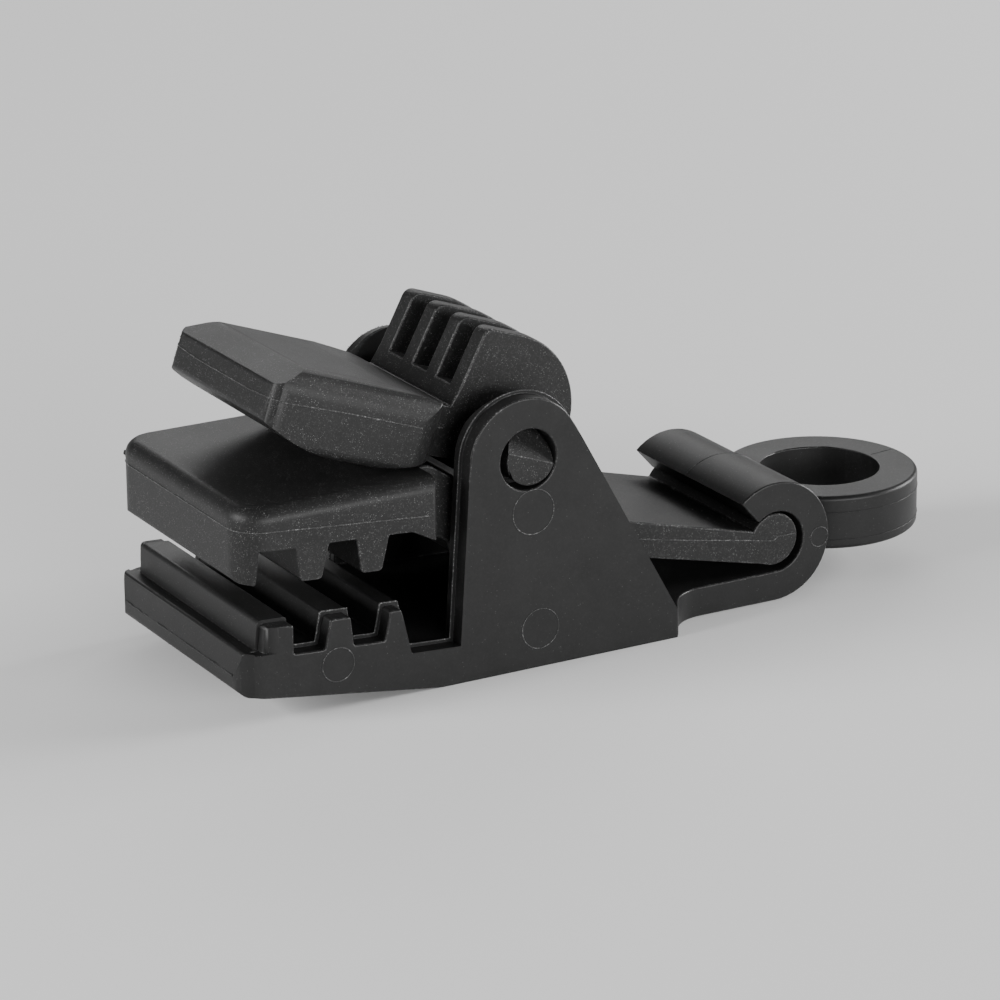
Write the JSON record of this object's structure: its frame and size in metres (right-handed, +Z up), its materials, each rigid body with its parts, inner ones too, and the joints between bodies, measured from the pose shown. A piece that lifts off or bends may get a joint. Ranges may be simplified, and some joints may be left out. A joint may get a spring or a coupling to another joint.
{
  "type": "tarp clip",
  "caption": "Toothed spring-jaw clip for tarpaulins with a cord eye: a ribbed cam lever presses the upper jaw, held in a hook, onto the base.",
  "frame": {"origin": "on the flat sole, right under the axis of the lever's axle holes, midway between the cheeks", "axes": "+X from the nose of the jaws to the cord eye, +Y across the clip, +Z up from the sole"},
  "size_m": [0.0888, 0.03, 0.035],
  "materials": {
    "base_plastic": "satin, glass-filled black nylon",
    "jaw_plastic": "satin, glass-filled black nylon",
    "lever_plastic": "satin, glass-filled black nylon"
  },
  "bodies": {
    "base": {"base_frame": "base_plastic"},
    "jaw": {"upper_jaw": "jaw_plastic"},
    "lever": {"cam_lever": "lever_plastic"}
  },
  "joints": [
    {"name": "lever_hinge", "type": "hinge", "parent": "base", "child": "lever", "pos_m": [0.00035, 0, 0.0227], "axis": [0, 1, 0], "range_deg": [0, 125]},
    {"name": "jaw_hinge", "type": "hinge", "parent": "base", "child": "jaw", "pos_m": [0.03257, 0, 0.00691], "axis": [0, 1, 0], "range_deg": [-6, 0]}
  ],
  "couplings": [
    {"joint": "jaw_hinge", "follows": "lever_hinge", "ratio": -0.048}
  ]
}
